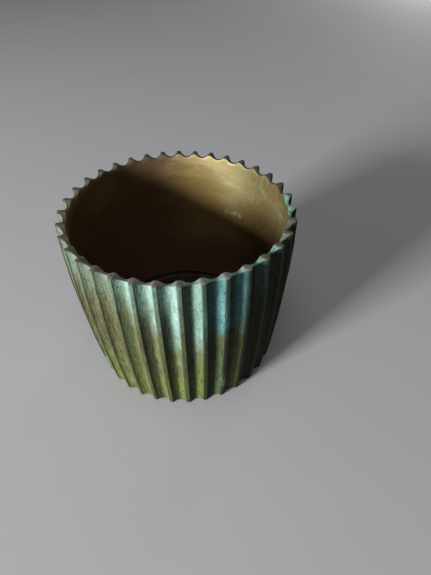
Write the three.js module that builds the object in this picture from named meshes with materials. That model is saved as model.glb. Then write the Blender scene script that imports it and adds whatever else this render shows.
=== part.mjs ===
// A small cast bronze pot with concave flutes, as a three.js scene.
// Millimetres, +Z up, origin at the centre of the foot, on the surface the pot stands on.
//
// The pot is three pieces. The fluted wall is one casting, open at both ends, with a flange turned
// inwards at its foot. A round base plate drops in from above and lies on that flange. A solder
// seam in the corner above the plate holds it and makes the pot tight.

import * as THREE from 'three';
import { mergeVertices } from 'three/addons/utils/BufferGeometryUtils.js';

// ---- driving dimensions ---------------------------------------------------------------------
const RIM_RADIUS = 55; // over the crests between the flutes, at the rim
const FOOT_RADIUS = 49; // over the crests, at the foot
const HEIGHT = 89.6; // foot to the highest points of the rim
const PROFILE_BULGE = 1.2; // 1: the wall leaves the rim upright; more: it swells just below the rim

const FLUTE_COUNT = 35;
const FLUTE_DEPTH = 2.7; // below the crests, at the rim
const FOOT_FLUTE_DEPTH = 1.9; // below the crests, at the foot
const FLOOR_WALL = 1.5; // wall thickness at the floor of a flute, measured level at the rim
const LAND_WIDTH = 2; // the flat crest between two flutes, at the rim
const FIRST_CREST = Math.PI; // the turn from -Y to one of the crests: it lies on +Y
const RIM_WAVE = 1.8; // how far the rim dips over each flute

const FLANGE_THICKNESS = 2.4;
const FLANGE_WIDTH = 5; // inwards from the bore at the foot
const PLATE_THICKNESS = 3;
const PLATE_CHAMFER = 0.6;
const SEAM_LEG = 2.6; // along the plate and up the wall
const SEAM_HOLLOW = 1 / 3; // share of the leg that the seam's hollow face keeps from each side
const FIT_GAP = 0.3; // between neighbouring pieces

// ---- fineness of the meshes -----------------------------------------------------------------
const STEPS_PER_FLUTE = 6; // two corners of the land and the points of the channel between them
const LAND_CORNERS = 2;
const OUTSIDE_STATIONS = 8;
const BORE_STATIONS = 5; // from the rim down to the head of the seam
const PLATE_SIDES = 96;

// ---- materials ------------------------------------------------------------------------------
const finish = (color, roughness, metalness) =>
  new THREE.MeshStandardMaterial({ color, roughness, metalness });
const verdigrisBronze = finish(0x6f8a5c, 0.7, 0.35);
const warmBronze = finish(0x8a7444, 0.5, 0.8);
const dullSolder = finish(0x77746a, 0.6, 0.7);

// ---- the wall's shape -----------------------------------------------------------------------
/** Radius over the crests at height z. */
function crestRadius(z) {
  const down = 1 - z / HEIGHT;
  return RIM_RADIUS - (RIM_RADIUS - FOOT_RADIUS) * ((1 - PROFILE_BULGE) * down + PROFILE_BULGE * down * down);
}

/** Radius of the smooth bore at height z. */
const boreRadius = (z) => crestRadius(z) - FLUTE_DEPTH - FLOOR_WALL;

// ---- where the plate and its seam lie in the bore ----------------------------------------------
const PLATE_UNDERSIDE = FLANGE_THICKNESS + FIT_GAP;
const PLATE_TOP = PLATE_UNDERSIDE + PLATE_THICKNESS;
const PLATE_RADIUS = boreRadius(FLANGE_THICKNESS) - FIT_GAP;
const SEAM_FOOT = PLATE_TOP + FIT_GAP;
const SEAM_HEAD = SEAM_FOOT + SEAM_LEG;

// ---- the flutes -------------------------------------------------------------------------------
/** Flute depth at height z: the channels run out shallower towards the foot. */
const fluteDepth = (z) => FOOT_FLUTE_DEPTH + ((FLUTE_DEPTH - FOOT_FLUTE_DEPTH) * z) / HEIGHT;

const PITCH = (2 * Math.PI * RIM_RADIUS) / FLUTE_COUNT;
const LAND_SHARE = LAND_WIDTH / PITCH;
const CHANNEL_HALF = (PITCH - LAND_WIDTH) / 2;
const CHANNEL_RADIUS = (CHANNEL_HALF ** 2 + FLUTE_DEPTH ** 2) / (2 * FLUTE_DEPTH); // of the round cutter

/** Where step k of a flute's cycle lies in its pitch, from 0 to 1, with the land at both ends. */
function pitchPlace(k) {
  const channelFacets = STEPS_PER_FLUTE - LAND_CORNERS + 1;
  return LAND_SHARE / 2 + (k / channelFacets) * (1 - LAND_SHARE);
}

/** How far across the channel a place in the pitch is: 0 at the middle, 1 at the lands and on them. */
const across = (place) => Math.min(Math.abs(place - 0.5) / ((1 - LAND_SHARE) / 2), 1);

/** Share of the full flute depth at a place in the pitch, along the arc that the round cutter leaves. */
function channelShare(place) {
  const chord = across(place) * CHANNEL_HALF;
  const floor = Math.sqrt(CHANNEL_RADIUS ** 2 - chord ** 2) - (CHANNEL_RADIUS - FLUTE_DEPTH);
  return Math.max(floor, 0) / FLUTE_DEPTH;
}

/** Share of the full dip of the rim at a place in the pitch: a parabola from land to land. */
const dipShare = (place) => 1 - across(place) ** 2;

/** Heights from one level to another in equal steps, both ends included. */
function levels(from, to, count) {
  return Array.from({ length: count }, (_, i) => from + ((to - from) * i) / (count - 1));
}

/**
 * A lathe whose profile runs once round the wall's section and closes on itself. Its points are
 * then moved: the outside ones inwards by the flute, and the rim ones down by the wave.
 */
function flutedWallGeometry() {
  const outside = levels(0, HEIGHT, OUTSIDE_STATIONS).map((z) => ({ r: crestRadius(z), z, fluted: true }));
  const boreHeights = [...levels(HEIGHT, SEAM_HEAD, BORE_STATIONS), SEAM_FOOT, FLANGE_THICKNESS];
  const bore = boreHeights.map((z) => ({ r: boreRadius(z), z, fluted: false }));
  const flangeRadius = boreRadius(0) - FLANGE_WIDTH;
  const flange = [
    { r: flangeRadius, z: FLANGE_THICKNESS, fluted: false },
    { r: flangeRadius, z: 0, fluted: false },
  ];
  const section = [...outside, ...bore, ...flange];
  const profile = [...section, section[0]].map(({ r, z }) => new THREE.Vector2(r, z));
  const geometry = new THREE.LatheGeometry(profile, FLUTE_COUNT * STEPS_PER_FLUTE);

  const position = geometry.getAttribute('position');
  for (let i = 0; i < position.count; i += 1) {
    const { r, z, fluted } = section[(i % profile.length) % section.length];
    const step = Math.floor(i / profile.length);
    const place = pitchPlace(step % STEPS_PER_FLUTE);
    const turn = (Math.floor(step / STEPS_PER_FLUTE) + place) / FLUTE_COUNT;
    const angle = 2 * Math.PI * turn + FIRST_CREST;
    const radius = fluted ? r - fluteDepth(z) * channelShare(place) : r;
    const height = z === HEIGHT ? z - RIM_WAVE * dipShare(place) : z;
    position.setXYZ(i, radius * Math.sin(angle), height, radius * Math.cos(angle));
  }
  return welded(geometry);
}

/** A solid of revolution from a profile of [radius, height] pairs. */
function turned(pairs) {
  return welded(new THREE.LatheGeometry(pairs.map(([r, z]) => new THREE.Vector2(r, z)), PLATE_SIDES));
}

/** The same mesh with its shared points merged, so that it is one closed body. */
function welded(geometry) {
  geometry.deleteAttribute('normal');
  geometry.deleteAttribute('uv');
  const merged = mergeVertices(geometry);
  merged.computeVertexNormals();
  return merged;
}

// ---- the plate and its seam -----------------------------------------------------------------
/** A round plate with both of its edges chamfered. */
function basePlateGeometry() {
  return turned([
    [0, PLATE_UNDERSIDE],
    [PLATE_RADIUS - PLATE_CHAMFER, PLATE_UNDERSIDE],
    [PLATE_RADIUS, PLATE_UNDERSIDE + PLATE_CHAMFER],
    [PLATE_RADIUS, PLATE_TOP - PLATE_CHAMFER],
    [PLATE_RADIUS - PLATE_CHAMFER, PLATE_TOP],
    [0, PLATE_TOP],
  ]);
}

/** A ring in the corner between the plate and the wall, with a hollow face. */
function solderSeamGeometry() {
  const footRadius = boreRadius(SEAM_FOOT) - FIT_GAP;
  const headRadius = boreRadius(SEAM_HEAD) - FIT_GAP;
  return turned([
    [footRadius - SEAM_LEG, SEAM_FOOT],
    [footRadius, SEAM_FOOT],
    [headRadius, SEAM_HEAD],
    [footRadius - SEAM_LEG * SEAM_HOLLOW, SEAM_FOOT + SEAM_LEG * SEAM_HOLLOW],
    [footRadius - SEAM_LEG, SEAM_FOOT],
  ]);
}

// ---- the assembly ---------------------------------------------------------------------------
/** A named piece of the pot. */
function piece(name, geometry, material) {
  const mesh = new THREE.Mesh(geometry, material);
  mesh.name = name;
  return mesh;
}

const pot = new THREE.Group();
pot.rotation.x = Math.PI / 2; // a lathe turns about Y; the pot stands along Z
pot.add(piece('fluted_wall', flutedWallGeometry(), verdigrisBronze));
pot.add(piece('base_plate', basePlateGeometry(), warmBronze));
pot.add(piece('solder_seam', solderSeamGeometry(), dullSolder));

export default pot;
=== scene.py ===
"""A small cast bronze pot with concave flutes and green verdigris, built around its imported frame.

Metres, +Z up, origin at the centre of the foot. The fluted wall, the base plate and the solder seam
are modelled anew, each in the place of its CAD node, and stand on a pale floor in soft window light.
"""

import logging
import math
from dataclasses import dataclass, field
from enum import Enum
from typing import Any, Callable, Iterable, Union

import bmesh
import bpy
from mathutils import Matrix, Vector


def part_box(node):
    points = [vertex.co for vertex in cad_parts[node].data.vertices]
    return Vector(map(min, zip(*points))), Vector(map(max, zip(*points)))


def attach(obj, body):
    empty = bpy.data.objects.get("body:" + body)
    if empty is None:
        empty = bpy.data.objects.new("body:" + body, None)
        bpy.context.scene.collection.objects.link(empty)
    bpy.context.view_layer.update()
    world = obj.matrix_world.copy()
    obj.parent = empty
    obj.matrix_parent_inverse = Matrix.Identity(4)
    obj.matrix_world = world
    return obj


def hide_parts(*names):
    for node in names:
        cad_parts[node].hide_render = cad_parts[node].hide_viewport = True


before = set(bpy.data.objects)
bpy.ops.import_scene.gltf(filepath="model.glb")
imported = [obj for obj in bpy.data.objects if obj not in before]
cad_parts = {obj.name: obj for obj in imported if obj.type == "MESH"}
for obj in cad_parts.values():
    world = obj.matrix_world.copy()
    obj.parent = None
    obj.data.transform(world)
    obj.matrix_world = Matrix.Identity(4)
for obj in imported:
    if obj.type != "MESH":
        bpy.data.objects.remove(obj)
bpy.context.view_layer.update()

log = logging.getLogger("fluted_pot")

MM = 0.001
Triple = tuple[float, float, float]
Colour = Triple


# ---- modelling by hand ------------------------------------------------------------------------
class Mode(Enum):
    """The two modes that a piece is worked in."""

    OBJECT = "OBJECT"
    EDIT = "EDIT"


def enter(mode: Mode) -> None:
    """Switches the active piece to a mode."""
    bpy.ops.object.mode_set(mode=mode.value)


def start_clean() -> None:
    """Leaves nothing selected, so that the next operator meets only its own piece."""
    bpy.ops.object.select_all(action="DESELECT")


def start_ring(name: str, sides: int, radius: float, level: float) -> bpy.types.Object:
    """Adds an open ring of edges about +Z and enters edit mode with all of it selected.

    Args:
        name: The piece's name.
        sides: How many edges the ring has.
        radius: The ring's radius.
        level: The ring's height.

    Returns:
        The new piece, active and in edit mode.
    """
    start_clean()
    bpy.ops.mesh.primitive_circle_add(vertices=sides, radius=radius, location=(0.0, 0.0, level))
    bpy.ops.object.transform_apply(location=True)
    piece = bpy.context.object
    piece.name = piece.data.name = name
    enter(Mode.EDIT)
    bpy.ops.mesh.select_all(action="SELECT")
    return piece


def step_ring(rise: float, ratio: float, level: float) -> None:
    """Extrudes the selected ring by a rise and scales it about the axis.

    Args:
        rise: How far up the new ring lies from the selected one.
        ratio: The new ring's radius over the selected one's.
        level: The new ring's height.
    """
    bpy.ops.mesh.extrude_edges_move(TRANSFORM_OT_translate={"value": (0.0, 0.0, rise)})
    bpy.ops.transform.resize(value=(ratio, ratio, 1.0), center_override=(0.0, 0.0, level))


def follow_section(section: Iterable[tuple[float, float]], start: tuple[float, float]) -> None:
    """Extrudes the selected ring through the (radius, height) points of a section.

    Args:
        section: The points to pass, in order.
        start: The (radius, height) of the selected ring.
    """
    radius, level = start
    for next_radius, next_level in section:
        step_ring(next_level - level, next_radius / radius, next_level)
        radius, level = next_radius, next_level


def pick_edges(piece: bpy.types.Object, wanted: Callable[[Vector, Vector], bool]) -> int:
    """Selects, in edit mode, exactly the edges whose two ends pass a test.

    Args:
        piece: The piece in edit mode.
        wanted: Says of an edge's two ends whether it is wanted.

    Returns:
        How many edges were selected.
    """
    bpy.ops.mesh.select_all(action="DESELECT")
    bpy.ops.mesh.select_mode(type="EDGE")
    shape = bmesh.from_edit_mesh(piece.data)
    count = 0
    for edge in shape.edges:
        edge.select = wanted(edge.verts[0].co, edge.verts[1].co)
        count += edge.select
    shape.select_flush_mode()
    bmesh.update_edit_mesh(piece.data)
    return count


def pick_open_edges() -> None:
    """Selects, in edit mode, exactly the edges of holes."""
    bpy.ops.mesh.select_all(action="DESELECT")
    bpy.ops.mesh.select_mode(type="EDGE")
    bpy.ops.mesh.select_non_manifold()


def finish_mesh(piece: bpy.types.Object, crease_degrees: float) -> None:
    """Turns every face outwards, leaves edit mode and shades the piece smooth up to a crease.

    Args:
        piece: The piece in edit mode.
        crease_degrees: The angle past which an edge stays sharp.
    """
    bpy.ops.mesh.select_all(action="SELECT")
    bpy.ops.mesh.normals_make_consistent(inside=False)
    enter(Mode.OBJECT)
    shade(piece, crease_degrees)


def shade(piece: bpy.types.Object, crease_degrees: float) -> None:
    """Shades a piece smooth, apart from edges sharper than an angle."""
    start_clean()
    piece.select_set(True)
    bpy.context.view_layer.objects.active = piece
    bpy.ops.object.shade_smooth_by_angle(angle=math.radians(crease_degrees))


def displace(piece: bpy.types.Object, strength: float, group: str, direction: str = "NORMAL",
             grain: float = 0.0) -> None:
    """Applies a Displace modifier under a vertex group, with or without a cloudy grain.

    Args:
        piece: The piece to move.
        strength: How far the surface moves at full weight.
        group: The vertex group that holds the weights.
        direction: The modifier's direction.
        grain: The size of the clouds, or 0 for an even push.
    """
    modifier = piece.modifiers.new("push", "DISPLACE")
    modifier.direction = direction
    modifier.strength = strength
    modifier.mid_level = 0.0
    modifier.vertex_group = group
    if grain > 0.0:
        clouds = bpy.data.textures.new(f"{piece.name}_clouds", "CLOUDS")
        clouds.noise_scale = grain
        clouds.noise_depth = 2
        modifier.texture = clouds
        modifier.texture_coords = "LOCAL"
        modifier.mid_level = 0.5
    start_clean()
    piece.select_set(True)
    bpy.context.view_layer.objects.active = piece
    bpy.ops.object.modifier_apply(modifier=modifier.name)


def weigh(piece: bpy.types.Object, group: str, weight: Callable[[Vector], float]) -> None:
    """Fills a vertex group with a weight for each place on a piece."""
    made = piece.vertex_groups.new(name=group)
    for vertex in piece.data.vertices:
        amount = weight(vertex.co)
        if amount > 0.0:
            made.add([vertex.index], min(amount, 1.0), "REPLACE")


def tag(piece: bpy.types.Object, name: str, measure: Callable[[bpy.types.MeshVertex], float]) -> None:
    """Stores a number for each vertex under a name, for the materials to read."""
    numbers = piece.data.attributes.new(name, "FLOAT", "POINT")
    numbers.data.foreach_set("value", [measure(vertex) for vertex in piece.data.vertices])


def ease(low: float, high: float, value: float) -> float:
    """A smooth step from 0 at low to 1 at high."""
    share = min(max((value - low) / (high - low), 0.0), 1.0)
    return share * share * (3.0 - 2.0 * share)


def levels(start: float, end: float, count: int) -> list[float]:
    """Heights from start to end in equal steps, without the start itself."""
    return [start + (end - start) * step / count for step in range(1, count + 1)]


# ---- shader maths -----------------------------------------------------------------------------
Number = Union["Value", float]


class Value:
    """A number that changes over a surface, written with Python's own arithmetic."""

    def __init__(self, paint: "Paint", socket: bpy.types.NodeSocket) -> None:
        """Wraps the output of a node in a paint's tree."""
        self.paint = paint
        self.socket = socket

    def __add__(self, other: Number) -> "Value":
        """self + other."""
        return self.paint.maths("ADD", self, other)

    def __radd__(self, other: Number) -> "Value":
        """other + self."""
        return self.paint.maths("ADD", other, self)

    def __sub__(self, other: Number) -> "Value":
        """self - other."""
        return self.paint.maths("SUBTRACT", self, other)

    def __rsub__(self, other: Number) -> "Value":
        """other - self."""
        return self.paint.maths("SUBTRACT", other, self)

    def __mul__(self, other: Number) -> "Value":
        """self * other."""
        return self.paint.maths("MULTIPLY", self, other)

    def __rmul__(self, other: Number) -> "Value":
        """other * self."""
        return self.paint.maths("MULTIPLY", other, self)

    def __truediv__(self, other: Number) -> "Value":
        """self / other."""
        return self.paint.maths("DIVIDE", self, other)

    def __rtruediv__(self, other: Number) -> "Value":
        """other / self."""
        return self.paint.maths("DIVIDE", other, self)

    def ease(self, low: float, high: float) -> "Value":
        """A smooth step of this value from 0 at low to 1 at high."""
        settings = {"interpolation_type": "SMOOTHSTEP"}
        inputs = {"Value": self, "From Min": low, "From Max": high}
        return Value(self.paint, self.paint.node("ShaderNodeMapRange", settings, inputs).outputs["Result"])

    def within(self, middle: float, reach: float) -> "Value":
        """1 where this value is at the middle, easing to 0 at a reach to either side."""
        return 1.0 - self.paint.maths("ABSOLUTE", self - middle).ease(0.0, reach)

    def kept(self) -> "Value":
        """This value held between 0 and 1."""
        return self.paint.maths("ADD", self, 0.0, clamp=True)


@dataclass(frozen=True)
class Arc:
    """A stretch round the axis: its middle, its half width and the fade past that, in degrees."""

    middle: float
    half: float
    fade: float


class Paint:
    """One material, its surface shader and the nodes that feed it."""

    def __init__(self, name: str, metallic: float, gloss: float = 0.3) -> None:
        """Makes a material with a plain surface shader of a given metallic and gloss."""
        self.material = bpy.data.materials.new(name)
        self.material.use_nodes = True
        self.tree = self.material.node_tree
        self.tree.nodes.clear()
        inputs = {"Metallic": metallic, "Specular IOR Level": gloss}
        self.surface = self.node("ShaderNodeBsdfPrincipled", {}, inputs)
        out = self.node("ShaderNodeOutputMaterial", {}, {})
        self.tree.links.new(self.surface.outputs["BSDF"], out.inputs["Surface"])
        self.place = self.node("ShaderNodeTexCoord", {}, {}).outputs["Object"]
        split = self.node("ShaderNodeSeparateXYZ", {}, {"Vector": self.place})
        self.x = Value(self, split.outputs["X"])
        self.y = Value(self, split.outputs["Y"])
        self.z = Value(self, split.outputs["Z"])

    def node(self, kind: str, settings: dict[str, Any], inputs: dict[Any, Any]) -> bpy.types.Node:
        """Adds a node, sets its options, then fills its inputs with numbers or links.

        Args:
            kind: The node's type.
            settings: The node's own options.
            inputs: A value, socket or Value for each input, by name or number.

        Returns:
            The new node.
        """
        made = self.tree.nodes.new(kind)
        for name, setting in settings.items():
            setattr(made, name, setting)
        for name, given in inputs.items():
            self.fill(made.inputs[name], given)
        return made

    def fill(self, entry: bpy.types.NodeSocket, given: Any) -> None:
        """Links a socket or a Value to a node's input, or sets the input to a plain number."""
        source = given.socket if isinstance(given, Value) else given
        if isinstance(source, bpy.types.NodeSocket):
            self.tree.links.new(source, entry)
        else:
            entry.default_value = source

    def maths(self, operation: str, *terms: Number, clamp: bool = False) -> Value:
        """A Math node over up to three terms."""
        settings = {"operation": operation, "use_clamp": clamp}
        return Value(self, self.node("ShaderNodeMath", settings, dict(enumerate(terms))).outputs[0])

    def noise(self, grain: float, stretch: Triple = (1.0, 1.0, 1.0), detail: float = 3.0,
              rough: float = 0.55) -> Value:
        """Fractal noise, about 0.5 on average.

        Args:
            grain: The size of the features, in metres.
            stretch: How many times longer the features are along each axis.
            detail: How many octaves there are.
            rough: How strong the fine octaves are.

        Returns:
            The noise.
        """
        scale = tuple(1.0 / (grain * longer) for longer in stretch)
        mapped = self.node("ShaderNodeMapping", {}, {"Vector": self.place, "Scale": scale})
        inputs = {"Vector": mapped.outputs["Vector"], "Scale": 1.0, "Detail": detail, "Roughness": rough}
        return Value(self, self.node("ShaderNodeTexNoise", {}, inputs).outputs["Fac"])

    def stored(self, name: str) -> Value:
        """A number stored on the mesh under a name."""
        settings = {"attribute_type": "GEOMETRY", "attribute_name": name}
        return Value(self, self.node("ShaderNodeAttribute", settings, {}).outputs["Fac"])

    def facing(self, degrees: float) -> Value:
        """How far a place lies towards a compass direction seen from the axis, from -1 to 1."""
        angle = math.radians(degrees)
        reach = self.maths("SQRT", self.x * self.x + self.y * self.y) + 1e-6
        return (self.x * math.cos(angle) + self.y * math.sin(angle)) / reach

    def around(self, arc: Arc) -> Value:
        """1 within an arc, easing to 0 past its ends."""
        near, far = math.cos(math.radians(arc.half)), math.cos(math.radians(arc.half + arc.fade))
        return self.facing(arc.middle).ease(far, near)

    def blend(self, share: Number, first: Any, second: Any) -> bpy.types.NodeSocket:
        """Mixes two colours by a share of the second one."""
        colours = [(*c, 1.0) if isinstance(c, tuple) else c for c in (first, second)]
        inputs = {0: share, 6: colours[0], 7: colours[1]}
        return self.node("ShaderNodeMix", {"data_type": "RGBA"}, inputs).outputs[2]

    def dress(self, colour: bpy.types.NodeSocket, roughness: Number, height: Value,
              depth: float) -> bpy.types.Material:
        """Feeds the surface shader and returns the material.

        Args:
            colour: The base colour.
            roughness: The roughness.
            height: The height of the fine relief, from 0 to 1.
            depth: How deep the relief is, in metres.

        Returns:
            The finished material.
        """
        bump = self.node("ShaderNodeBump", {}, {"Height": height, "Distance": depth, "Strength": 1.0})
        feeds = {"Base Color": colour, "Roughness": roughness, "Normal": bump.outputs["Normal"]}
        for name, given in feeds.items():
            self.fill(self.surface.inputs[name], given)
        return self.material


class Coat:
    """A colour that is laid up in layers."""

    def __init__(self, paint: Paint, share: Number, first: Colour, second: Colour) -> None:
        """Starts from two colours, mixed by a share of the second one."""
        self.paint = paint
        self.colour = paint.blend(share, first, second)

    def lay(self, share: Number, colour: Any) -> None:
        """Lays a colour over the coat, as thickly as a share from 0 to 1 says."""
        self.colour = self.paint.blend(share, self.colour, colour)


# ---- finishes ---------------------------------------------------------------------------------
@dataclass(frozen=True)
class Skin:
    """What the patina is worked from: the place on the wall, and noises from broad to fine."""

    up: Value
    fold: Value
    lee: Value
    cloud: Value
    stain: Value
    brush: Value
    speckle: Value
    crumb: Value

    @classmethod
    def of(cls, paint: Paint, height: float) -> "Skin":
        """Reads a wall's places and makes its noises.

        Args:
            paint: The paint to add to.
            height: The wall's height.

        Returns:
            The places and noises.
        """
        return cls(
            up=paint.z / height,
            fold=paint.stored("fold"),
            lee=paint.stored("lee"),
            cloud=paint.noise(17 * MM, (1.0, 1.0, 1.5), 3.0),
            stain=paint.noise(5 * MM, (1.0, 1.0, 2.2), 4.0, 0.6),
            brush=paint.noise(0.8 * MM, (1.0, 1.0, 10.0), 4.0, 0.65),
            speckle=paint.noise(0.95 * MM, (1.0, 1.0, 1.5), 4.0, 0.7),
            crumb=paint.noise(0.7 * MM, (1.0, 1.0, 1.0), 2.0, 0.6),
        )

    @property
    def wander(self) -> Value:
        """How far the edge of a patch strays up or down."""
        return (self.stain - 0.5) * 0.45 + (self.brush - 0.5) * 0.25


@dataclass(frozen=True)
class VerdigrisFinish:
    """Green verdigris over bronze: mint and teal high up in front, olive low down, a golden bore."""

    olive: Colour = (0.125, 0.160, 0.062)
    brown_olive: Colour = (0.145, 0.142, 0.062)
    lime: Colour = (0.175, 0.235, 0.048)
    pale_grey: Colour = (0.24, 0.30, 0.23)
    mint: Colour = (0.20, 0.36, 0.29)
    pale_mint_and_sheen: Colour = (0.50, 0.74, 0.68)
    # pale verdigris, also used as a painted highlight
    teal: Colour = (0.165, 0.41, 0.42)
    deep_teal: Colour = (0.055, 0.19, 0.185)
    land_brown: Colour = (0.084, 0.068, 0.032)
    land_green: Colour = (0.098, 0.140, 0.060)
    land_pale: Colour = (0.170, 0.250, 0.185)
    # soot for grains, also used as painted shade
    soot_and_shade: Colour = (0.012, 0.012, 0.007)
    # painted shade colour
    lee_green: Colour = (0.009, 0.013, 0.004)
    dull_green: Colour = (0.045, 0.085, 0.050)
    worn_brown: Colour = (0.090, 0.080, 0.034)
    rim_light: Colour = (0.190, 0.195, 0.170)
    rim_grey: Colour = (0.105, 0.102, 0.076)
    rim_worn: Colour = (0.120, 0.098, 0.070)
    rim_dark: Colour = (0.055, 0.058, 0.046)
    bore_gold: Colour = (0.56, 0.45, 0.21)
    bore_olive: Colour = (0.30, 0.27, 0.125)
    # amber for rusty streaks, also used as painted shade
    bore_amber_and_shade: Colour = (0.25, 0.15, 0.04)
    bore_brown: Colour = (0.115, 0.095, 0.045)
    # dark specks, also used as painted shade
    bore_specks_and_shade: Colour = (0.060, 0.036, 0.018)
    # painted shade colour of the bore
    bore_shade_brown: Colour = (0.120, 0.066, 0.044)
    crust: Colour = (0.20, 0.42, 0.36)
    # chalky crust, also used for one painted glint
    chalk_and_glint: Colour = (0.62, 0.64, 0.54)
    # where each mark lies round the outside
    worn_at: Arc = Arc(200.0, 26.0, 30.0)
    green_at: Arc = Arc(279.0, 10.0, 34.0)
    greenest_at: Arc = Arc(278.0, 8.0, 8.0)
    cloudy_at: Arc = Arc(70.0, 60.0, 20.0)
    bare_at: Arc = Arc(297.0, 9.0, 5.0)
    dim_at: Arc = Arc(280.5, 4.0, 3.0)
    teal_at: Arc = Arc(295.0, 9.0, 2.5)
    # painted shade over the right side and its lands, fading round towards the back
    shade_side_at: Arc = Arc(334.0, 20.0, 20.0)
    land_shade_at: Arc = Arc(325.0, 36.0, 20.0)
    shade_fade_at: Arc = Arc(10.0, 18.0, 42.0)
    dull_at: Arc = Arc(292.0, 4.5, 3.5)
    dusk_at: Arc = Arc(311.0, 6.0, 3.0)
    # painted shade on the flank of each front flute that faces away from the window, spared high up near 257
    # degrees
    lee_at: Arc = Arc(288.0, 24.0, 28.0)
    spared_at: Arc = Arc(257.0, 11.0, 6.0)
    chip_at: Arc = Arc(284.2, 1.4, 1.2)
    bloom_at: Arc = Arc(205.0, 10.0, 8.0)
    scab_at: Arc = Arc(295.2, 0.4, 2.0)
    # one painted glint, high on the front left
    glint_at: Arc = Arc(232.2, 0.9, 0.5)
    glint_slant_degrees: float = 250.0
    # round the rim's top face
    rim_dark_at: Arc = Arc(80.0, 60.0, 30.0)
    rim_light_at: Arc = Arc(270.0, 30.0, 15.0)
    rim_pale_at: Arc = Arc(302.0, 26.0, 12.0)
    rim_crust_at: Arc = Arc(1.0, 8.0, 4.0)
    # round the bore
    bore_olive_at: Arc = Arc(20.0, 26.0, 30.0)
    bore_streaks_at: Arc = Arc(4.0, 16.0, 40.0)
    bore_amber_at: Arc = Arc(24.0, 5.0, 12.0)
    # painted shade in the bore: deeper at the back, low on the right, and over the unlit back-left side
    bore_back_shade_at: Arc = Arc(105.0, 8.0, 40.0)
    bore_right_shade_at: Arc = Arc(5.0, 20.0, 34.0)
    bore_shade_at: Arc = Arc(160.0, 45.0, 36.0)
    bore_scale_at: Arc = Arc(55.6, 5.0, 2.5)
    bore_flecks_at: Arc = Arc(38.0, 14.0, 14.0)
    bore_metallic: float = 0.36
    relief_depth: float = 0.55 * MM

    def paint(self, height: float) -> bpy.types.Material:
        """Builds the material of the whole wall.

        Args:
            height: The wall's height.

        Returns:
            The material.
        """
        paint = Paint("verdigris_bronze", metallic=0.0, gloss=0.06)
        skin = Skin.of(paint, height)
        rings = paint.noise(0.7 * MM, (26.0, 26.0, 1.0), 3.0, 0.6)
        outward, rim = paint.stored("outer").ease(0.25, 0.75), paint.stored("rim")
        coat, bare = self._bore(paint, skin, rings)
        coat.lay(outward, self._outside(paint, skin).colour)
        coat.lay(rim, self._rim(paint, skin).colour)

        shine = (1.0 - outward) * (1.0 - rim) * bare
        paint.fill(paint.surface.inputs["Metallic"], shine * self.bore_metallic)
        roughness = 0.58 + (skin.speckle - 0.5) * 0.35 + (skin.brush - 0.5) * outward * 0.25 - shine * 0.13
        grain = outward * (skin.brush - rings * 0.4) + rings * 0.4
        relief = grain * 0.4 + (skin.speckle * 0.4 + skin.crumb * 0.2) * (outward * 0.6 + 0.4)
        return paint.dress(coat.colour, roughness, relief, self.relief_depth)

    def _outside(self, paint: Paint, skin: Skin) -> Coat:
        """The colour of the fluted outside: flutes, lands, painted shade along the lands' edges, then marks.
        """
        green, patch = self._green(paint, skin), self._teal(paint, skin)
        flesh = self._ground(paint, skin)
        self._bloom(paint, skin, flesh, green, patch)
        self._shade(paint, skin, flesh)
        flesh.lay(skin.fold.ease(0.79, 0.86), self._lands(paint, skin, patch).colour)
        # painted shade along the edges of the lands, darker low down
        edge_shade = skin.fold.within(0.785, 0.085) * (1.15 - skin.up * 0.5 + (skin.stain - 0.5) * 1.2).kept()
        flesh.lay(edge_shade, self.soot_and_shade)
        self._mark(paint, skin, flesh, green)
        return flesh

    def _green(self, paint: Paint, skin: Skin) -> Value:
        """How green a place is: most in the middle of the front, and in clouds at the back."""
        front = paint.around(self.green_at) * 0.33 + paint.around(self.greenest_at) * 0.16
        behind = paint.around(self.cloudy_at)
        limit = 1.08 - front - behind * skin.cloud.ease(0.45, 0.62) * 0.5
        spread = (skin.up + skin.wander - limit).ease(-0.22, 0.26)
        return spread * (1.0 - paint.around(self.bare_at) * 0.75)

    def _teal(self, paint: Paint, skin: Skin) -> Value:
        """How far a place lies in the teal patch, high up on the front's right."""
        edge = skin.up + (skin.stain - 0.5) * 0.3 + (skin.brush - 0.5) * 0.25
        return paint.around(self.teal_at) * edge.ease(0.58, 0.67)

    def _ground(self, paint: Paint, skin: Skin) -> Coat:
        """The flutes' olive ground: lime low down, brown where it is worn, grey high up."""
        up, stain, cloud = skin.up, skin.stain, skin.cloud
        flesh = Coat(paint, cloud.ease(0.38, 0.62), self.brown_olive, self.olive)
        limy = (1.0 - up + (stain - 0.5) * 0.5).ease(0.40, 0.95) * cloud.ease(0.3, 0.6)
        flesh.lay(limy, self.lime)
        worn = paint.around(self.worn_at) * (1.0 - limy * 0.8) * up.ease(0.05, 0.4) * 0.65
        flesh.lay(worn, self.worn_brown)
        flesh.lay((up + skin.wander).ease(0.70, 1.02) * 0.6, self.pale_grey)
        low = (1.0 - up + (stain - 0.5) * 0.4).ease(0.30, 0.75)
        side = skin.fold.ease(0.35, 0.80) * (1.0 - skin.lee) * low
        flesh.lay(side * 0.55, self.worn_brown)
        return flesh

    def _bloom(self, paint: Paint, skin: Skin, flesh: Coat, green: Value, patch: Value) -> None:
        """Lays the mint bloom, pale mint that is partly a painted highlight on the lit flanks, the teal patch
        and pale streaks over the ground.

        Args:
            paint: The paint to add to.
            skin: The places and noises.
            flesh: The ground.
            green: How green a place is.
            patch: How far a place lies in the teal patch.
        """
        brush, stain = skin.brush, skin.stain
        flesh.lay(green * 0.9, self.mint)
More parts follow.
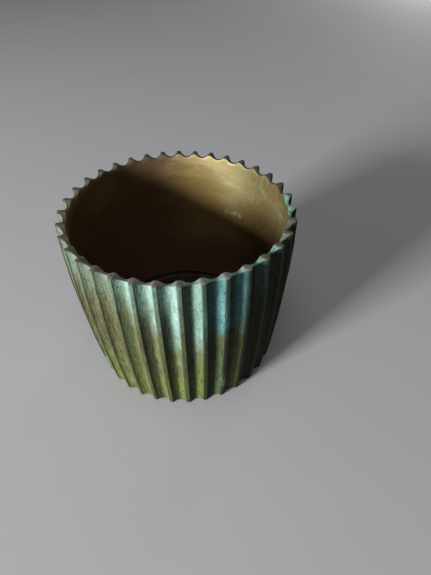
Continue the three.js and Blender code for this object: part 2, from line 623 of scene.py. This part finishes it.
        # pale mint on the window-facing flank only: partly pale verdigris, partly painted highlight
        bloom = green * (1.0 - skin.lee) * (brush * 0.4 + stain * 0.25 + skin.speckle * 0.35).ease(0.43, 0.58)
        dim = 1.0 - paint.around(self.dim_at) * skin.up.ease(0.45, 0.80) * 0.55
        flesh.lay(bloom * dim * 0.85, self.pale_mint_and_sheen)
        teal = paint.blend((brush + stain * 0.5).ease(0.62, 0.9), self.deep_teal, self.teal)
        flesh.lay(patch * 0.88, teal)
        flesh.lay((1.0 - brush).ease(0.50, 0.62) * (0.2 + green * 0.25), self.pale_grey)

    def _shade(self, paint: Paint, skin: Skin, flesh: Coat) -> None:
        """Lays painted shade over the right side and over the flank of each fold in front that faces away
        from the window.
        """
        # painted shade over the right side, where the window light does not reach
        dark = paint.maths("MAXIMUM", paint.around(self.shade_side_at), paint.around(self.shade_fade_at))
        flesh.lay(dark * 0.92, self.lee_green)
        dull = paint.around(self.dull_at) * (1.0 - skin.up + (skin.stain - 0.5) * 0.2).ease(0.30, 0.44)
        flesh.lay(dull * 0.6, self.dull_green)
        dusk = paint.around(self.dusk_at) * (skin.up + skin.wander).ease(0.62, 0.92)
        flesh.lay(dusk * 0.22, self.deep_teal)
        # painted shade on the flank of each front flute that faces away from the window
        spared = 1.0 - paint.around(self.spared_at) * skin.up.ease(0.70, 0.95) * 0.8
        flesh.lay(skin.lee * paint.around(self.lee_at) * spared * 0.76, self.lee_green)

    def _lands(self, paint: Paint, skin: Skin, patch: Value) -> Coat:
        """The lands between the flutes: brown to green, paler high up, with painted shade on the right."""
        up, speckle = skin.up, skin.speckle
        crest = Coat(paint, (skin.cloud + speckle - 0.5).ease(0.4, 0.65), self.land_brown, self.land_green)
        crest.lay((up + (speckle - 0.5) * 0.5).ease(0.55, 1.0) * 0.7, self.land_pale)
        chip = (up + (skin.crumb - 0.5) * 0.15).within(0.785, 0.10).ease(0.2, 0.5)
        teal = paint.around(self.chip_at) * chip + patch * skin.stain.ease(0.42, 0.58)
        crest.lay(teal.kept() * 0.85, self.teal)
        # painted shade over the lands of the right side
        dark = paint.maths("MAXIMUM", paint.around(self.land_shade_at), paint.around(self.shade_fade_at))
        crest.lay(dark * 0.75, self.soot_and_shade)
        return crest

    def _mark(self, paint: Paint, skin: Skin, flesh: Coat, green: Value) -> None:
        """Lays the outside's small marks: crusts, sooty and pale grains, and one painted glint.

        Args:
            paint: The paint to add to.
            skin: The places and noises.
            flesh: The outside so far.
            green: How green a place is.
        """
        up, brush, speckle, crumb = skin.up, skin.brush, skin.speckle, skin.crumb
        bloom = paint.around(self.bloom_at) * up.within(0.10, 0.13) * skin.stain.ease(0.42, 0.56)
        flesh.lay(bloom * 0.45, self.crust)
        scab = paint.around(self.scab_at) * up.within(0.17, 0.11) * (speckle + crumb).ease(0.98, 1.08)
        flesh.lay(scab * 0.8, self.crust)
        flesh.lay(brush.ease(0.50, 0.64) * 0.52, self.soot_and_shade)
        flesh.lay(speckle.ease(0.55, 0.63) * 0.62, self.soot_and_shade)
        flesh.lay((1.0 - crumb).ease(0.66, 0.76) * (0.25 + green * 0.35), self.pale_mint_and_sheen)
        # a painted glint: one small white spot high on the front left
        slanted = up + paint.facing(self.glint_slant_degrees) * 0.12
        glint = paint.around(self.glint_at) * slanted.within(0.895, 0.024)
        flesh.lay(glint.ease(0.15, 0.5), self.chalk_and_glint)

    def _rim(self, paint: Paint, skin: Skin) -> Coat:
        """The colour of the rim's top face: worn grey, dark at the back, with crust to the right."""
        stain, speckle, crumb = skin.stain, skin.speckle, skin.crumb
        top = Coat(paint, paint.around(self.rim_dark_at), self.rim_grey, self.rim_dark)
        top.lay(paint.around(self.rim_light_at), self.rim_light)
        top.lay(stain.ease(0.45, 0.6) * 0.4, self.rim_worn)
        hollow = 1.0 - skin.fold.ease(0.62, 0.88)
        pale = paint.around(self.rim_pale_at) * hollow * (speckle + crumb).ease(0.85, 1.10)
        top.lay(pale * 0.75, self.crust)
        top.lay((1.0 - hollow) * stain.ease(0.4, 0.6) * 0.5, self.rim_worn)
        crusted = paint.around(self.rim_crust_at) * (stain + speckle).ease(0.85, 1.1)
        top.lay(crusted * 0.9, self.crust)
        top.lay(speckle.ease(0.56, 0.7) * 0.75, self.soot_and_shade)
        return top

    def _bore(self, paint: Paint, skin: Skin, rings: Value) -> tuple[Coat, Value]:
        """The smooth bore: golden bronze with turning marks, crusts, and painted shade in its depth and on
        its back-left side.

        Args:
            paint: The paint to add to.
            skin: The places and noises.
            rings: The marks of the turning.

        Returns:
            The colour, and how bare the metal is.
        """
        up, speckle, crumb = skin.up, skin.speckle, skin.crumb
        wide = paint.noise(8 * MM, (2.6, 2.6, 1.0), 3.0)
        streaks = paint.noise(3.0 * MM, (1.0, 1.0, 2.2), 4.0, 0.75)
        inside = Coat(paint, wide.ease(0.40, 0.62) * 0.8, self.bore_gold, self.bore_olive)
        inside.lay(paint.around(self.bore_olive_at) * 0.7, self.bore_olive)
        streaked = paint.around(self.bore_streaks_at) * (streaks * 2.2 - 0.25).kept()
        inside.lay(streaked, self.bore_brown)
        rusty = paint.around(self.bore_amber_at) * streaks.ease(0.45, 0.6) * 0.5
        inside.lay(rusty, self.bore_amber_and_shade)
        # painted shade: amber deepening towards the bottom, more so at the back
        deep = (1.0 - up + (wide - 0.5) * 0.25 + paint.around(self.bore_back_shade_at) * 0.22).ease(0.10, 0.44)
        inside.lay(deep * 0.8, self.bore_amber_and_shade)
        inside.lay(rings.ease(0.42, 0.75) * 0.4, self.bore_olive)
        # painted shade: dark brown towards the bottom
        sooty = (1.0 - up + (wide - 0.5) * 0.2).ease(0.42, 0.72)
        inside.lay(sooty * 0.92, self.bore_shade_brown)
        # painted shade: darker low down on the right
        dark = paint.around(self.bore_right_shade_at) * (1.0 - up).ease(0.1, 0.35) * 0.7
        inside.lay(dark, self.bore_specks_and_shade)
        # painted shade over the unlit back-left side of the bore
        inside.lay(paint.around(self.bore_shade_at) * 0.75, self.bore_shade_brown)
        scale = (up + (speckle - 0.5) * 0.06).within(0.636, 0.022)
        scale = paint.around(self.bore_scale_at) * scale.ease(0.1, 0.6) * crumb.ease(0.49, 0.54)
        inside.lay(scale * 0.8, self.chalk_and_glint)
        inside.lay(speckle.ease(0.60, 0.72) * 0.6, self.bore_specks_and_shade)
        flecks = (1.0 - crumb).ease(0.66, 0.72) * (0.25 + paint.around(self.bore_flecks_at) * 0.5)
        inside.lay(flecks, self.chalk_and_glint)
        return inside, 1.0 - sooty * 0.8


@dataclass(frozen=True)
class TurnedBronzeFinish:
    """Bronze darkened almost to black as painted shade; the rings that turning leaves, brown stains and a
    little green.
    """

    # painted shade: every colour of the plate is darkened almost to black
    metal: Colour = (0.036, 0.025, 0.013)
    stain: Colour = (0.022, 0.015, 0.009)
    verdigris: Colour = (0.030, 0.036, 0.024)
    ring_pitch: float = 1.1 * MM
    relief_depth: float = 0.08 * MM

    def paint(self) -> bpy.types.Material:
        """Builds the material."""
        paint = Paint("warm_bronze", metallic=0.4, gloss=0.1)
        radius = paint.maths("SQRT", paint.x * paint.x + paint.y * paint.y)
        rings = paint.maths("SINE", radius * (2.0 * math.pi / self.ring_pitch)) * 0.5 + 0.5
        cloud = paint.noise(14 * MM)
        speckle = paint.noise(1.2 * MM, detail=4.0, rough=0.7)
        colour = paint.blend(cloud.ease(0.4, 0.7), self.metal, self.stain)
        colour = paint.blend(speckle.ease(0.6, 0.75) * 0.5, colour, self.verdigris)
        roughness = 0.52 + cloud * 0.2 + speckle * 0.1
        return paint.dress(colour, roughness, rings * 0.5 + speckle * 0.5, self.relief_depth)


@dataclass(frozen=True)
class SolderFinish:
    """Dull brown solder, darkened almost to black as painted shade, with darker flux stains."""

    # painted shade: the solder's colours are darkened almost to black
    metal: Colour = (0.034, 0.026, 0.018)
    flux: Colour = (0.020, 0.014, 0.009)
    relief_depth: float = 0.15 * MM

    def paint(self) -> bpy.types.Material:
        """Builds the material."""
        paint = Paint("dull_solder", metallic=0.4, gloss=0.1)
        cloud = paint.noise(5 * MM)
        ripple = paint.noise(1.4 * MM, (1.0, 1.0, 0.6))
        colour = paint.blend(cloud.ease(0.45, 0.7), self.metal, self.flux)
        return paint.dress(colour, 0.4 + ripple * 0.3, ripple, self.relief_depth)


@dataclass(frozen=True)
class FloorFinish:
    """Plain pale matt floor."""

    tone: Colour = (0.46, 0.46, 0.475)
    shade: Colour = (0.435, 0.435, 0.45)
    roughness: float = 0.85
    relief_depth: float = 0.02 * MM

    def paint(self) -> bpy.types.Material:
        """Builds the material."""
        paint = Paint("pale_floor", metallic=0.0)
        cloud = paint.noise(60 * MM)
        grain = paint.noise(0.8 * MM)
        colour = paint.blend(cloud, self.tone, self.shade)
        return paint.dress(colour, self.roughness, grain, self.relief_depth)


# ---- the pieces -------------------------------------------------------------------------------
@dataclass
class FlutedWall:
    """The cast wall: concave flutes outside, a scalloped rim, a smooth bore and a flange at the foot."""

    height: float
    rim_radius: float = 55 * MM
    foot_radius: float = 49 * MM
    bulge: float = 1.2
    flute_count: int = 35
    flute_depth: float = 2.7 * MM
    floor_wall: float = 1.5 * MM
    land_width: float = 2 * MM
    rim_wave: float = 1.8 * MM
    flange_thickness: float = 2.4 * MM
    flange_width: float = 5 * MM
    dip_reach: float = 9 * MM
    edge_round: float = 0.3 * MM
    corner_softness: float = 0.02
    columns: tuple[float, ...] = (0.03, 0.055, 0.08, 0.1, 0.12, 0.145, 0.175, 0.22, 0.28, 0.35, 0.42)
    outside_rows: int = 54
    bore_rows: int = 34
    uneven_degrees: tuple[tuple[float, float], ...] = ((1.3, 21.0), (1.7, 15.0), (0.3, -135.0))
    uneven_shift: float = 1.2
    lean_degrees: tuple[float, float] = (3.0, 279.0)
    foot_flute_depth: float = 1.9 * MM
    swell_share: float = 0.014
    swell_degrees: float = -5.0
    casting_wander: float = 0.35 * MM
    wander_grain: float = 14 * MM
    fine_wander_share: float = 0.3
    fine_wander_grain: float = 3.5 * MM
    crease_degrees: float = 38.0
    finish: VerdigrisFinish = field(default_factory=VerdigrisFinish)

    @property
    def pitch(self) -> float:
        """Distance from crest to crest round the rim."""
        return 2.0 * math.pi * self.rim_radius / self.flute_count

    @property
    def land_share(self) -> float:
        """The land's width as a share of the pitch."""
        return self.land_width / self.pitch

    def crest(self, level: float) -> float:
        """Radius over the crests at a height."""
        down = 1.0 - level / self.height
        fall = (1.0 - self.bulge) * down + self.bulge * down * down
        return self.rim_radius - (self.rim_radius - self.foot_radius) * fall

    def bore(self, level: float) -> float:
        """Radius of the bore at a height."""
        return self.crest(level) - self.flute_depth - self.floor_wall

    def across(self, place: float) -> float:
        """How far across the channel a place in the pitch is: 0 at its middle, 1 on the lands."""
        return min(abs(place % 1.0 - 0.5) / (0.5 - self.land_share / 2.0), 1.0)

    def cut_share(self, place: float) -> float:
        """Share of the flute's depth at a place in the pitch, along the round cutter's arc."""
        half = (self.pitch - self.land_width) / 2.0
        cutter = (half**2 + self.flute_depth**2) / (2.0 * self.flute_depth)
        chord = self.across(place) * half
        return max(math.sqrt(cutter**2 - chord**2) - (cutter - self.flute_depth), 0.0) / self.flute_depth

    def softened(self, share: Callable[[float], float], place: float) -> float:
        """A share of the pitch with its corners worn round."""
        return sum(share(place + step * self.corner_softness) for step in range(-2, 3)) / 5.0

    def channel_share(self, place: float) -> float:
        """Share of the flute's depth, with worn corners."""
        return self.softened(self.cut_share, place)

    def dip_share(self, place: float) -> float:
        """Share of the rim's dip, a parabola from land to land with worn corners."""
        return self.softened(lambda spot: 1.0 - self.across(spot) ** 2, place)

    def crowding(self, angle: float) -> float:
        """How far the flutes stray from an even spacing at an angle, in radians."""
        waves = enumerate(self.uneven_degrees, start=1)
        stray = sum(size * math.sin(n * angle + math.radians(lead)) for n, (size, lead) in waves)
        return math.radians(stray + self.uneven_shift)

    def lean(self, angle: float, level: float) -> float:
        """How far the flutes lean from their place at the rim, at an angle and height, in radians."""
        size, axis = (math.radians(degrees) for degrees in self.lean_degrees)
        return (1.0 - level / self.height) * size * math.sin(angle - axis)

    def place_at(self, spot: Vector) -> float:
        """Place in the pitch, from 0 at a crest to 1 at the next, of a spot on the wall."""
        angle = at_rim = math.atan2(spot.y, spot.x)
        for _ in range(4):
            at_rim = angle - self.lean(at_rim, spot.z)
        even = at_rim
        for _ in range(4):
            even = at_rim - self.crowding(even)
        return ((even - math.pi / 2.0) * self.flute_count / (2.0 * math.pi)) % 1.0

    def column_places(self) -> list[float]:
        """Places of the mesh's columns in one pitch, from one crest's middle to the next."""
        return [0.0, *self.columns, 0.5, *(1.0 - place for place in reversed(self.columns))]

    def build(self) -> bpy.types.Object:
        """Models the wall.

        Returns:
            The finished piece, dressed and riding on the root body.
        """
        wall = self._fluted_ring()
        self._outside_and_bore()
        pick_open_edges()
        bpy.ops.mesh.bridge_edge_loops()
        self._round_edges(wall)
        finish_mesh(wall, self.crease_degrees)
        self._hand_shape(wall)
        self._dip_and_roughen(wall)
        self._tag(wall)
        shade(wall, self.crease_degrees)
        wall.data.materials.append(self.finish.paint(self.height))
        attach(wall, "root")
        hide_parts("fluted_wall")
        return wall

    def _fluted_ring(self) -> bpy.types.Object:
        """A ring at the foot, its points moved to the outline of the flutes."""
        places = self.column_places()
        columns = self.flute_count * len(places)
        wall = start_ring("cast_fluted_wall", columns, self.foot_radius, 0.0)
        shape = bmesh.from_edit_mesh(wall.data)
        depth = self.flute_depth * self.foot_radius / self.rim_radius
        for vertex in shape.verts:
            turn = (math.atan2(vertex.co.y, vertex.co.x) - math.pi / 2.0) / (2.0 * math.pi)
            flute, column = divmod(round((turn % 1.0) * columns) % columns, len(places))
            even = math.pi / 2.0 + 2.0 * math.pi * (flute + places[column]) / self.flute_count
            angle = even + self.crowding(even)
            radius = self.foot_radius - depth * self.channel_share(places[column])
            vertex.co = Vector((radius * math.cos(angle), radius * math.sin(angle), 0.0))
        bmesh.update_edit_mesh(wall.data)
        return wall

    def _outside_and_bore(self) -> None:
        """Extrudes the ring up the outside, over the rim and down the bore to the flange."""
        outside = [(self.crest(level), level) for level in levels(0.0, self.height, self.outside_rows)]
        follow_section(outside, (self.foot_radius, 0.0))
        middle = (0.0, 0.0, self.height)
        bpy.ops.mesh.extrude_edges_move(TRANSFORM_OT_translate={"value": (0.0, 0.0, 0.0)})
        bpy.ops.transform.tosphere(value=1.0, center_override=middle)
        reached = self._selected_radius()
        ratio = self.bore(self.height) / reached
        bpy.ops.transform.resize(value=(ratio, ratio, 1.0), center_override=middle)
        heights = levels(self.height, self.flange_thickness, self.bore_rows)
        flange = self.bore(0.0) - self.flange_width
        section = [(self.bore(level), level) for level in heights]
        section += [(flange, self.flange_thickness), (flange, 0.0)]
        follow_section(section, (self.bore(self.height), self.height))

    @staticmethod
    def _selected_radius() -> float:
        """Distance from the axis of a selected point."""
        shape = bmesh.from_edit_mesh(bpy.context.object.data)
        spot = next(vertex.co for vertex in shape.verts if vertex.select)
        return math.hypot(spot.x, spot.y)

    def _round_edges(self, wall: bpy.types.Object) -> None:
        """Rounds the rim's two edges and the foot's outer edge."""
        hair = 0.01 * MM
        top = self.height - hair
        foot_floor = self.foot_radius - self.flute_depth - 0.1 * MM

        def level_ring(first: Vector, second: Vector) -> bool:
            """Whether an edge runs round the rim or the foot's outside, and not across the wall."""
            on_top = first.z > top and second.z > top
            on_foot = first.z < hair and second.z < hair
            radii = [math.hypot(end.x, end.y) for end in (first, second)]
            if on_foot and min(radii) < foot_floor:
                return False
            between = abs(radii[0] - radii[1]) > 0.6 * self.floor_wall
            return (on_top or on_foot) and not between

        log.info("rounding %d edges", pick_edges(wall, level_ring))
        bpy.ops.mesh.bevel(offset=self.edge_round, segments=2, affect="EDGES", clamp_overlap=True)

    def _hand_shape(self, wall: bpy.types.Object) -> None:
        """Makes the flutes shallower at the foot, swells one side and lets the flutes lean."""
        for vertex in wall.data.vertices:
            spot = vertex.co
            radius, angle = math.hypot(spot.x, spot.y), math.atan2(spot.y, spot.x)
            inner, crest = self.bore(spot.z), self.crest(spot.z)
            outward = min(max((radius - inner) / self.floor_wall, 0.0), 1.0)
            cut = self.flute_depth * crest / self.rim_radius
            deeper = (self.flute_depth - self.foot_flute_depth) * spot.z / self.height
            wanted = self.foot_flute_depth + deeper
            grown = radius + outward * max(crest - radius, 0.0) / cut * (cut - wanted)
            towards = max(math.cos(angle - math.radians(self.swell_degrees)), 0.0)
            grown *= 1.0 + self.swell_share * towards**3
            turned = angle + self.lean(angle, spot.z)
            vertex.co.xy = (grown * math.cos(turned), grown * math.sin(turned))

    def _dip_and_roughen(self, wall: bpy.types.Object) -> None:
        """Dips the rim over each flute, then lets the casting wander a little."""
        reach = self.dip_reach

        def dip(spot: Vector) -> float:
            """How much of the rim's dip a spot takes: none below the reach, most over a flute."""
            share = max((spot.z - self.height + reach) / reach, 0.0)
            return share * self.dip_share(self.place_at(spot))

        def free(spot: Vector) -> float:
            """How freely a spot may wander: not at all where the pot stands."""
            return ease(0.5 * MM, 8 * MM, spot.z)

        weigh(wall, "dip", dip)
        displace(wall, -self.rim_wave, "dip", "Z")
        weigh(wall, "free", free)
        displace(wall, self.casting_wander, "free", "NORMAL", self.wander_grain)
        fine_wander = self.casting_wander * self.fine_wander_share
        displace(wall, fine_wander, "free", "NORMAL", self.fine_wander_grain)
        wall.vertex_groups.clear()

    def _tag(self, wall: bpy.types.Object) -> None:
        """Stores where each point lies: outside or in the bore, in the lee, on a fold, on the rim."""

        def outer(vertex: bpy.types.MeshVertex) -> float:
            """0 on the bore, 1 on the outside."""
            spot = vertex.co
            share = self.channel_share(self.place_at(spot))
            inner = self.bore(spot.z)
            outline = self.crest(spot.z) - self.flute_depth * share
            return min(max((math.hypot(spot.x, spot.y) - inner) / (outline - inner), 0.0), 1.0)

        def lee(vertex: bpy.types.MeshVertex) -> float:
            """1 on the side of a flute that faces away from the window."""
            place = self.place_at(vertex.co)
            return ease(0.62, 0.42, place) * ease(0.0, 0.10, place)

        def fold(vertex: bpy.types.MeshVertex) -> float:
            """0 at the middle of a flute, 1 at a crest."""
            return 2.0 * abs(self.place_at(vertex.co) - 0.5)

        def rim(vertex: bpy.types.MeshVertex) -> float:
            """1 on the rim's top face."""
            return ease(0.35, 0.8, vertex.normal.z) * (vertex.co.z > 0.9 * self.height)

        tag(wall, "outer", outer)
        tag(wall, "lee", lee)
        tag(wall, "fold", fold)
        tag(wall, "rim", rim)


@dataclass
class BasePlate:
    """The round plate on the flange: turned, a little dished, with a centre mark and a ring below."""

    low: Vector
    high: Vector
    sides: int = 192
    edge: float = 0.5 * MM
    dish: float = 0.35 * MM
    dish_shares: tuple[float, ...] = (0.92, 0.75, 0.5, 0.25, 0.1)
    mark_radius: float = 1.6 * MM
    mark_depth_share: float = 0.2
    ring_inset: float = 3 * MM
    ring_width: float = 1.2 * MM
    ring_depth: float = 0.25 * MM
    crease_degrees: float = 30.0
    finish: TurnedBronzeFinish = field(default_factory=TurnedBronzeFinish)

    def build(self) -> bpy.types.Object:
        """Models the plate.

        Returns:
            The finished piece, dressed and riding on the root body.
        """
        radius, foot, top = self.high.x, self.low.z, self.high.z
        plate = start_ring("turned_base_plate", self.sides, radius - self.edge, foot)
        floor = top - self.dish
        rim = [(radius, foot + self.edge), (radius, top - self.edge), (radius - self.edge, top)]
        inner = [(radius * share, top - self.dish * (1.0 - share**2)) for share in self.dish_shares]
        mark = [(self.mark_radius, floor)]
        mark += [(self.mark_radius / 2.0, floor - self.mark_depth_share * (top - foot))]
        follow_section(rim + inner + mark, (radius - self.edge, foot))
        bpy.ops.mesh.edge_face_add()
        pick_open_edges()
        bpy.ops.mesh.edge_face_add()
        bpy.ops.mesh.inset(thickness=self.ring_inset, depth=0.0)
        bpy.ops.mesh.inset(thickness=self.ring_width, depth=-self.ring_depth)
        finish_mesh(plate, self.crease_degrees)
        plate.data.materials.append(self.finish.paint())
        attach(plate, "root")
        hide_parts("base_plate")
        return plate


@dataclass
class SolderSeam:
    """The bead of solder in the corner between the plate and the wall."""

    low: Vector
    high: Vector
    sides: int = 240
    hollow_steps: int = 6
    slope: float = 0.12
    wander: float = 0.5 * MM
    wander_grain: float = 4 * MM
    crease_degrees: float = 60.0
    finish: SolderFinish = field(default_factory=SolderFinish)

    def build(self) -> bpy.types.Object:
        """Models the seam.

        Returns:
            The finished piece, dressed and riding on the root body.
        """
        leg = self.high.z - self.low.z
        outer, foot = self.high.x - self.slope * leg, self.low.z
        start = (outer - leg, foot)
        seam = start_ring("solder_bead", self.sides, start[0], start[1])
        turns = levels(0.0, math.pi / 2, self.hollow_steps)
        hollow = [(outer - leg + leg * math.sin(turn), foot + leg * (1.0 - math.cos(turn))) for turn in turns]
        follow_section(hollow + [(outer + self.slope * leg, foot + leg), (outer, foot)], start)
        pick_open_edges()
        bpy.ops.mesh.bridge_edge_loops()
        finish_mesh(seam, self.crease_degrees)
        weigh(seam, "free", lambda spot: ease(outer, outer - 0.5 * leg, math.hypot(spot.x, spot.y)))
        displace(seam, self.wander, "free", "NORMAL", self.wander_grain)
        seam.vertex_groups.clear()
        shade(seam, self.crease_degrees)
        seam.data.materials.append(self.finish.paint())
        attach(seam, "root")
        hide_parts("solder_seam")
        return seam


# ---- the studio -------------------------------------------------------------------------------
@dataclass(frozen=True)
class Lamp:
    """A square area light that shines on the pot: its direction in degrees, distance and strength."""

    name: str
    azimuth: float
    elevation: float
    distance: float
    size: float
    watts: float

    def build(self) -> None:
        """Adds the light to the scene, turned to face the pot's foot."""
        azimuth, elevation = math.radians(self.azimuth), math.radians(self.elevation)
        level = math.cos(elevation)
        towards = Vector((level * math.cos(azimuth), level * math.sin(azimuth), math.sin(elevation)))
        lamp = bpy.data.lights.new(self.name, "AREA")
        lamp.size = self.size
        lamp.energy = self.watts
        holder = bpy.data.objects.new(self.name, lamp)
        bpy.context.scene.collection.objects.link(holder)
        turn = towards.to_track_quat("Z", "Y").to_matrix().to_4x4()
        holder.matrix_world = Matrix.Translation(towards * self.distance) @ turn


@dataclass
class Studio:
    """The pale floor, the lights and the camera."""

    rim_radius: float
    floor_size: float = 6.0
    floor_drop: float = 0.1 * MM
    sky: Colour = (0.95, 0.96, 1.0)
    sky_strength: float = 0.045
    lamps: tuple[Lamp, ...] = (
        Lamp("window", azimuth=221.0, elevation=17.5, distance=1.5, size=0.34, watts=38.0),
        Lamp("ceiling", azimuth=265.0, elevation=80.0, distance=1.6, size=0.9, watts=5.5),
        Lamp("far_side", azimuth=62.0, elevation=7.0, distance=1.6, size=0.3, watts=6.0),
    )
    camera_place: Triple = (0.323, -3.154, 3.707)  # in rim radii
    camera_down_degrees: float = 43.93
    camera_roll_degrees: float = -0.34
    lens_share: float = 0.763478  # focal length over the frame's long side
    sensor_mm: float = 36.0
    nearest: float = 0.005
    finish: FloorFinish = field(default_factory=FloorFinish)

    def build(self) -> None:
        """Sets up the floor, the lights and the camera."""
        self._floor()
        for lamp in self.lamps:
            lamp.build()
        self._surround()
        self._camera()

    def _floor(self) -> None:
        """A wide plane under the foot."""
        start_clean()
        bpy.ops.mesh.primitive_plane_add(size=self.floor_size, location=(0.0, 0.0, -self.floor_drop))
        bpy.ops.object.transform_apply(location=True)
        floor = bpy.context.object
        floor.name = floor.data.name = "pale_floor"
        floor.data.materials.append(self.finish.paint())

    def _surround(self) -> None:
        """A dim, slightly cool surround, and colours shown as they are."""
        world = bpy.data.worlds.new("surround")
        world.use_nodes = True
        sky = world.node_tree.nodes["Background"]
        sky.inputs["Color"].default_value = (*self.sky, 1.0)
        sky.inputs["Strength"].default_value = self.sky_strength
        bpy.context.scene.world = world
        bpy.context.scene.view_settings.view_transform = "Standard"

    def _camera(self) -> None:
        """The camera, above the front of the pot and looking down past its rim."""
        down, roll = math.radians(self.camera_down_degrees), math.radians(self.camera_roll_degrees)
        right = Vector((1.0, 0.0, 0.0))
        up = Vector((0.0, math.sin(down), math.cos(down)))
        back = Vector((0.0, -math.cos(down), math.sin(down)))
        rolled_right = right * math.cos(roll) + up * math.sin(roll)
        rolled_up = up * math.cos(roll) - right * math.sin(roll)
        lens = bpy.data.cameras.new("view")
        lens.sensor_fit = "AUTO"
        lens.sensor_width = self.sensor_mm
        lens.lens = self.lens_share * lens.sensor_width
        lens.clip_start = self.nearest
        camera = bpy.data.objects.new("view", lens)
        bpy.context.scene.collection.objects.link(camera)
        turn = Matrix((rolled_right, rolled_up, back)).transposed().to_4x4()
        camera.matrix_world = Matrix.Translation(Vector(self.camera_place) * self.rim_radius) @ turn
        bpy.context.scene.camera = camera


def main() -> None:
    """Builds the pot, then the studio."""
    logging.basicConfig(level=logging.INFO, format="%(name)s: %(message)s")
    wall = FlutedWall(height=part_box("fluted_wall")[1].z)
    plate, seam = BasePlate(*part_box("base_plate")), SolderSeam(*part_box("solder_seam"))
    pieces = [maker.build() for maker in (wall, plate, seam)]
    for piece in pieces:
        log.info("%s: %d faces", piece.name, len(piece.data.polygons))
    Studio(wall.rim_radius).build()


if __name__ == "__main__":
    main()
